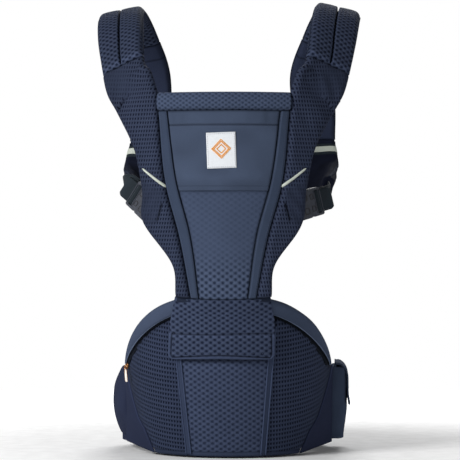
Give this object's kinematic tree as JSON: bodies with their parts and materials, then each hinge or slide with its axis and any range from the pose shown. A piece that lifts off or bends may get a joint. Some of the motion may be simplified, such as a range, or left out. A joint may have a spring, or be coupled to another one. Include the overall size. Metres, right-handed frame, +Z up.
{
  "type": "soft baby carrier",
  "caption": "Padded hip-seat baby carrier: waist belt, foam seat, bent body panel with hood pocket, two shoulder straps and side release buckles.",
  "frame": {"origin": "centre of the waist opening, on the wearer's upright axis, in the plane of the seat's flat base", "axes": "+X to the right seen from the front, +Y from the carrier's front towards the wearer's back, +Z up"},
  "size_m": [0.388, 0.3832, 0.6542],
  "materials": {
    "navy_mesh": "padded spacer mesh",
    "seat_side_mesh": "open square mesh",
    "navy_woven": "plain weave",
    "foam": "moulded foam",
    "webbing": "narrow woven tape",
    "buckle_plastic": "moulded",
    "reflective": "reflective tape",
    "zip_black": "zip tape and hook tape",
    "zip_metal": "painted",
    "zip_pull": "moulded",
    "label": "satin patch"
  },
  "bodies": {
    "waist": {"seat_foam_core": "foam", "seat_top_cover": "navy_woven", "seat_cover_middle": "navy_mesh", "seat_cover_left": "seat_side_mesh", "seat_cover_right": "seat_side_mesh", "seat_piping": "navy_woven", "seat_rim_band": "navy_woven", "zip_tape": "zip_black", "belt_front_pad": "navy_woven", "belt_pad_left": "navy_woven", "belt_pad_right": "navy_woven", "lumbar_pad": "navy_mesh", "side_cover_left": "navy_woven", "side_pocket_right": "navy_woven", "waist_webbing": "webbing", "flap_fastener": "zip_black", "waist_buckle_female": "buckle_plastic"},
    "panel": {"panel_lining": "navy_woven", "panel_top_band": "navy_mesh", "hood_pocket": "navy_woven", "panel_lower_mesh": "navy_mesh", "label_patch": "label", "side_strips": "navy_woven", "wing_left": "navy_mesh", "wing_right": "navy_mesh", "wing_reflectors": "reflective", "strap_front_left": "navy_mesh", "strap_front_right": "navy_mesh", "strap_arch_left": "navy_mesh", "strap_arch_right": "navy_mesh", "strap_back_left": "navy_mesh", "strap_back_right": "navy_mesh", "strap_tail_left": "navy_woven", "strap_tail_right": "navy_woven", "strap_reflectors": "reflective", "side_buckle_tabs": "webbing", "side_webbing": "webbing", "side_left_buckle_female": "buckle_plastic", "side_right_buckle_female": "buckle_plastic"},
    "flap": {"panel_flap": "navy_mesh"},
    "zip_slider": {"zip_slider": "zip_metal"},
    "zip_pull": {"zip_pull": "zip_pull"},
    "pocket_flap": {"pocket_flap": "navy_woven"},
    "chest_strap": {"chest_sliders": "buckle_plastic", "chest_webbing": "webbing", "chest_buckle_female": "buckle_plastic"},
    "side_left_male": {"side_left_buckle_male": "buckle_plastic", "side_left_loop": "webbing"},
    "side_right_male": {"side_right_buckle_male": "buckle_plastic", "side_right_loop": "webbing"},
    "chest_male": {"chest_buckle_male": "buckle_plastic"},
    "waist_male": {"waist_buckle_male": "buckle_plastic"},
    "side_left_prong_upper": {"side_left_prong_upper": "buckle_plastic"},
    "side_left_prong_lower": {"side_left_prong_lower": "buckle_plastic"},
    "side_right_prong_upper": {"side_right_prong_upper": "buckle_plastic"},
    "side_right_prong_lower": {"side_right_prong_lower": "buckle_plastic"},
    "chest_prong_upper": {"chest_prong_upper": "buckle_plastic"},
    "chest_prong_lower": {"chest_prong_lower": "buckle_plastic"},
    "waist_prong_upper": {"waist_prong_upper": "buckle_plastic"},
    "waist_prong_lower": {"waist_prong_lower": "buckle_plastic"}
  },
  "joints": [
    {"name": "panel_fold", "type": "hinge", "parent": "waist", "child": "panel", "pos_m": [0, -0.246, 0.231], "axis": [1, 0, 0], "range_deg": [0, 95]},
    {"name": "flap_lift", "type": "hinge", "parent": "waist", "child": "flap", "pos_m": [0, -0.24, 0.231], "axis": [-1, 0, 0], "range_deg": [0, 55]},
    {"name": "zip_run", "type": "slide", "parent": "waist", "child": "zip_slider", "axis": [0.2281, -0.7803, 0.5823], "range_m": [0, 0.03]},
    {"name": "zip_pull_swing", "type": "hinge", "parent": "zip_slider", "child": "zip_pull", "pos_m": [-0.1593, -0.092, 0.132], "axis": [0, 1, 0], "range_deg": [0, 60]},
    {"name": "pocket_flap_lift", "type": "hinge", "parent": "waist", "child": "pocket_flap", "pos_m": [0.157, -0.014, 0.127], "axis": [0, -1, 0], "range_deg": [0, 100]},
    {"name": "chest_height", "type": "slide", "parent": "panel", "child": "chest_strap", "axis": [0, 0, 1], "range_m": [-0.03, 0.03]},
    {"name": "side_left_unplug", "type": "slide", "parent": "panel", "child": "side_left_male", "axis": [-0.6723, 0.4111, 0.6157], "range_m": [0, 0.028]},
    {"name": "side_left_prong_upper_squeeze", "type": "hinge", "parent": "side_left_male", "child": "side_left_prong_upper", "pos_m": [-0.10844, -0.19632, 0.37493], "axis": [0.5217, 0.8531, 0], "range_deg": [0, 6], "stiffness_Nm_per_rad": 0.5},
    {"name": "side_left_prong_lower_squeeze", "type": "hinge", "parent": "side_left_male", "child": "side_left_prong_lower", "pos_m": [-0.12378, -0.18695, 0.35192], "axis": [-0.5217, -0.8531, 0], "range_deg": [0, 6], "stiffness_Nm_per_rad": 0.5},
    {"name": "side_right_unplug", "type": "slide", "parent": "panel", "child": "side_right_male", "axis": [0.824, 0.504, 0.2588], "range_m": [0, 0.028]},
    {"name": "side_right_prong_upper_squeeze", "type": "hinge", "parent": "side_right_male", "child": "side_right_prong_upper", "pos_m": [0.11471, -0.19249, 0.37322], "axis": [0.5217, -0.8531, 0], "range_deg": [0, 6], "stiffness_Nm_per_rad": 0.5},
    {"name": "side_right_prong_lower_squeeze", "type": "hinge", "parent": "side_right_male", "child": "side_right_prong_lower", "pos_m": [0.12116, -0.18854, 0.34502], "axis": [-0.5217, 0.8531, 0], "range_deg": [0, 6], "stiffness_Nm_per_rad": 0.5},
    {"name": "chest_unplug", "type": "slide", "parent": "chest_strap", "child": "chest_male", "axis": [1, 0, 0], "range_m": [0, 0.022]},
    {"name": "chest_prong_upper_squeeze", "type": "hinge", "parent": "chest_male", "child": "chest_prong_upper", "pos_m": [0.0094, 0.12, 0.5091], "axis": [0, -1, 0], "range_deg": [0, 6], "stiffness_Nm_per_rad": 0.1},
    {"name": "chest_prong_lower_squeeze", "type": "hinge", "parent": "chest_male", "child": "chest_prong_lower", "pos_m": [0.0094, 0.12, 0.4869], "axis": [0, 1, 0], "range_deg": [0, 6], "stiffness_Nm_per_rad": 0.1},
    {"name": "waist_unplug", "type": "slide", "parent": "waist", "child": "waist_male", "axis": [1, 0, 0], "range_m": [0, 0.032]},
    {"name": "waist_prong_upper_squeeze", "type": "hinge", "parent": "waist_male", "child": "waist_prong_upper", "pos_m": [0.01434, 0.1268, 0.0866], "axis": [0, -1, 0], "range_deg": [0, 6], "stiffness_Nm_per_rad": 0.5},
    {"name": "waist_prong_lower_squeeze", "type": "hinge", "parent": "waist_male", "child": "waist_prong_lower", "pos_m": [0.01434, 0.1268, 0.0514], "axis": [0, 1, 0], "range_deg": [0, 6], "stiffness_Nm_per_rad": 0.5}
  ],
  "couplings": [
    {"joint": "side_left_prong_lower_squeeze", "follows": "side_left_prong_upper_squeeze", "ratio": 1},
    {"joint": "side_right_prong_lower_squeeze", "follows": "side_right_prong_upper_squeeze", "ratio": 1},
    {"joint": "chest_prong_lower_squeeze", "follows": "chest_prong_upper_squeeze", "ratio": 1},
    {"joint": "waist_prong_lower_squeeze", "follows": "waist_prong_upper_squeeze", "ratio": 1}
  ]
}
